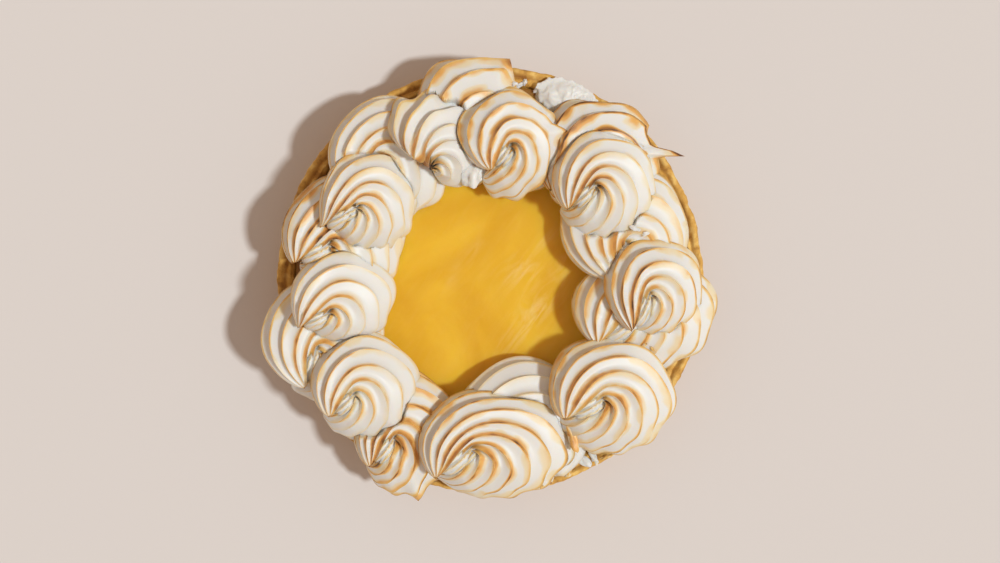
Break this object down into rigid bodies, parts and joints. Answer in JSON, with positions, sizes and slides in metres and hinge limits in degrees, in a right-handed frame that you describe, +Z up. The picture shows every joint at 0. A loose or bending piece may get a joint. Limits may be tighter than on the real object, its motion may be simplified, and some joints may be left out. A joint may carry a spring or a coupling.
{
  "type": "mango meringue pie",
  "caption": "Whole uncut mango pie: golden shortcrust shell, yellow-orange mango filling and a ring of piped meringue rosettes in tiers, toasted along their ridges.",
  "frame": {"origin": "centre of the shell's flat foot, on the surface that the pie stands on", "axes": "+Z up; -Y towards the side nearest the viewer, +X to the right"},
  "size_m": [0.2381, 0.2328, 0.0676],
  "materials": {
    "crust": "baked shortcrust pastry, matte, darker at the rim",
    "filling": "set mango curd, cloudy, half gloss",
    "meringue": "soft piped meringue, cream white, toasted brown along its ridges"
  },
  "bodies": {
    "root": {"pastry_shell": "crust", "mango_filling": "filling", "meringue_smear": "meringue", "rosette_upper_1": "meringue", "rosette_upper_2": "meringue", "rosette_upper_3": "meringue", "rosette_upper_4": "meringue", "rosette_upper_5": "meringue", "rosette_upper_6": "meringue", "rosette_upper_7": "meringue", "rosette_upper_8": "meringue", "rosette_upper_9": "meringue", "rosette_lower_1": "meringue", "rosette_lower_2": "meringue", "rosette_lower_3": "meringue", "rosette_lower_4": "meringue", "rosette_lower_5": "meringue", "rosette_lower_6": "meringue", "rosette_lower_7": "meringue", "rosette_lower_8": "meringue", "rosette_lower_9": "meringue"}
  },
  "joints": []
}
